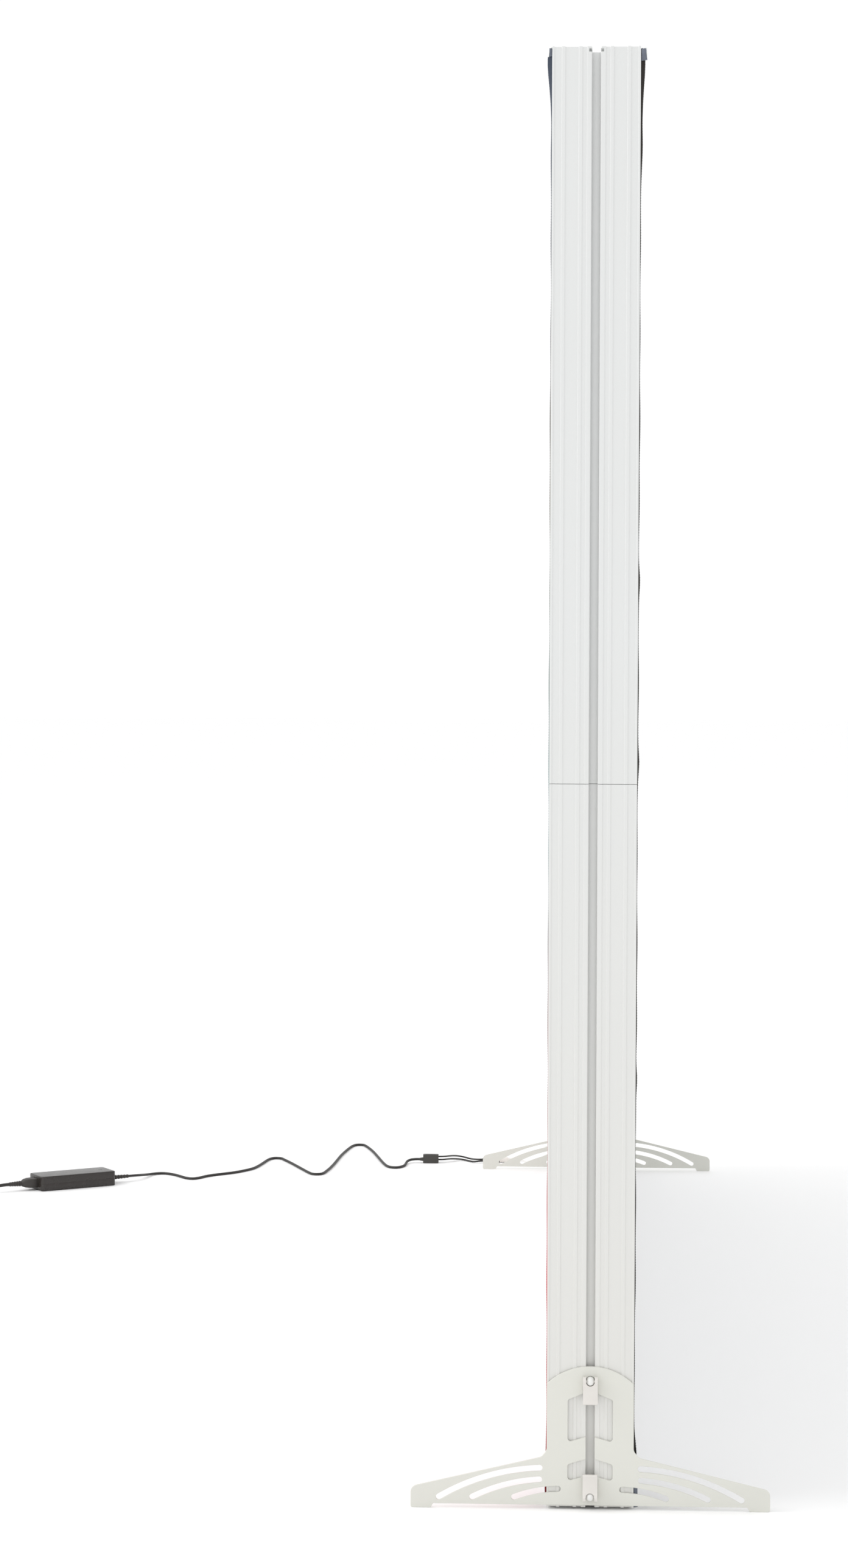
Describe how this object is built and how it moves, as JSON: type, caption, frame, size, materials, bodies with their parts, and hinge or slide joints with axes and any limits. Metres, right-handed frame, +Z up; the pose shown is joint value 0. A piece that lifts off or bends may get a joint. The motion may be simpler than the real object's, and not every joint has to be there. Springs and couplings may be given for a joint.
{
  "type": "backlit fabric display stand",
  "caption": "Tall free-standing light box: slotted white frame, stretched fabric faces, flat sheet-metal feet on cam clamps, and a cabled power adapter.",
  "frame": {"origin": "on the floor, under the middle of the frame", "axes": "+X along the frame towards the post where the leads leave, +Y towards the face on the cable side, +Z up"},
  "size_m": [3.3381, 1.658, 2.003],
  "materials": {
    "frame_white": "matt white powder coat on extruded profile",
    "foot_white": "fine-texture off-white powder coat",
    "lever_white": "cream-white moulded plastic",
    "joiner_steel": "zinc plated",
    "bolt_white": "white powder coated die casting",
    "pin_steel": "zinc plated",
    "connector_white": "white moulded connector",
    "brace_aluminium": "satin anodised",
    "socket_grey": "moulded plastic",
    "front_print": "printed stretch fabric, charcoal gradient",
    "back_print": "printed stretch fabric, slate to red gradient",
    "keder_strip": "soft silicone strip",
    "light_board": "white solder mask",
    "lens_clear": "clear moulded lens",
    "wire_white": "white cable sheath",
    "connector_black": "moulded connector",
    "cord_black": "black cable sheath",
    "adapter_black": "fine-texture moulded case",
    "circuit_green": "circuit board with components",
    "moulding_black": "soft black moulding",
    "pin_metal": "nickel plated"
  },
  "bodies": {
    "frame": {"ac_inlet": "moulding_black", "adapter_board": "circuit_green", "adapter_case_bottom": "adapter_black", "adapter_case_top": "adapter_black", "back_fabric": "back_print", "back_keder": "keder_strip", "bottom_rail_centre": "frame_white", "bottom_rail_left": "frame_white", "bottom_rail_right": "frame_white", "brace_sockets": "socket_grey", "corner_brackets": "joiner_steel", "dc_cord": "cord_black", "dc_strain_relief": "moulding_black", "front_fabric": "front_print", "front_keder": "keder_strip", "inlet_plug": "moulding_black", "inner_wiring": "wire_white", "lead_grommets": "wire_white", "lead_socket_a": "connector_white", "lead_socket_b": "connector_white", "left_brace": "brace_aluminium", "left_foot_plate": "foot_white", "left_light_boards": "light_board", "left_light_lenses": "lens_clear", "left_post_lower": "frame_white", "left_post_upper": "frame_white", "mains_coil": "cord_black", "mains_cord": "cord_black", "mains_plug": "moulding_black", "mains_plug_pins": "pin_metal", "post_splices": "joiner_steel", "rail_splices": "joiner_steel", "right_brace": "brace_aluminium", "right_foot_plate": "foot_white", "right_light_boards": "light_board", "right_light_lenses": "lens_clear", "right_post_lower": "frame_white", "right_post_upper": "frame_white", "splitter_block": "connector_black", "splitter_lead_a": "cord_black", "splitter_lead_b": "cord_black", "splitter_plug_a": "connector_black", "splitter_plug_b": "connector_black", "top_rail_centre": "frame_white", "top_rail_left": "frame_white", "top_rail_right": "frame_white", "white_lead_a": "wire_white", "white_lead_b": "wire_white"},
    "left_top_bolt": {"left_top_t_bolt": "bolt_white", "left_top_cross_pin": "pin_steel"},
    "left_top_lever": {"left_top_cam_lever": "lever_white"},
    "left_bottom_bolt": {"left_bottom_t_bolt": "bolt_white", "left_bottom_cross_pin": "pin_steel"},
    "left_bottom_lever": {"left_bottom_cam_lever": "lever_white"},
    "right_top_bolt": {"right_top_t_bolt": "bolt_white", "right_top_cross_pin": "pin_steel"},
    "right_top_lever": {"right_top_cam_lever": "lever_white"},
    "right_bottom_bolt": {"right_bottom_t_bolt": "bolt_white", "right_bottom_cross_pin": "pin_steel"},
    "right_bottom_lever": {"right_bottom_cam_lever": "lever_white"}
  },
  "joints": [
    {"name": "left_top_bolt_turn", "type": "hinge", "parent": "frame", "child": "left_top_bolt", "pos_m": [-1.51, 0, 0.18], "axis": [-1, 0, 0], "range_deg": [0, 90]},
    {"name": "left_top_lever_flip", "type": "hinge", "parent": "left_top_bolt", "child": "left_top_lever", "pos_m": [-1.51, 0, 0.18], "axis": [0, 1, 0], "range_deg": [0, 95]},
    {"name": "left_bottom_bolt_turn", "type": "hinge", "parent": "frame", "child": "left_bottom_bolt", "pos_m": [-1.51, 0, 0.0196], "axis": [-1, 0, 0], "range_deg": [0, 90]},
    {"name": "left_bottom_lever_flip", "type": "hinge", "parent": "left_bottom_bolt", "child": "left_bottom_lever", "pos_m": [-1.51, 0, 0.0196], "axis": [0, -1, 0], "range_deg": [0, 95]},
    {"name": "right_top_bolt_turn", "type": "hinge", "parent": "frame", "child": "right_top_bolt", "pos_m": [1.51, 0, 0.18], "axis": [1, 0, 0], "range_deg": [0, 90]},
    {"name": "right_top_lever_flip", "type": "hinge", "parent": "right_top_bolt", "child": "right_top_lever", "pos_m": [1.51, 0, 0.18], "axis": [0, -1, 0], "range_deg": [0, 95]},
    {"name": "right_bottom_bolt_turn", "type": "hinge", "parent": "frame", "child": "right_bottom_bolt", "pos_m": [1.51, 0, 0.0196], "axis": [1, 0, 0], "range_deg": [0, 90]},
    {"name": "right_bottom_lever_flip", "type": "hinge", "parent": "right_bottom_bolt", "child": "right_bottom_lever", "pos_m": [1.51, 0, 0.0196], "axis": [0, 1, 0], "range_deg": [0, 95]}
  ]
}
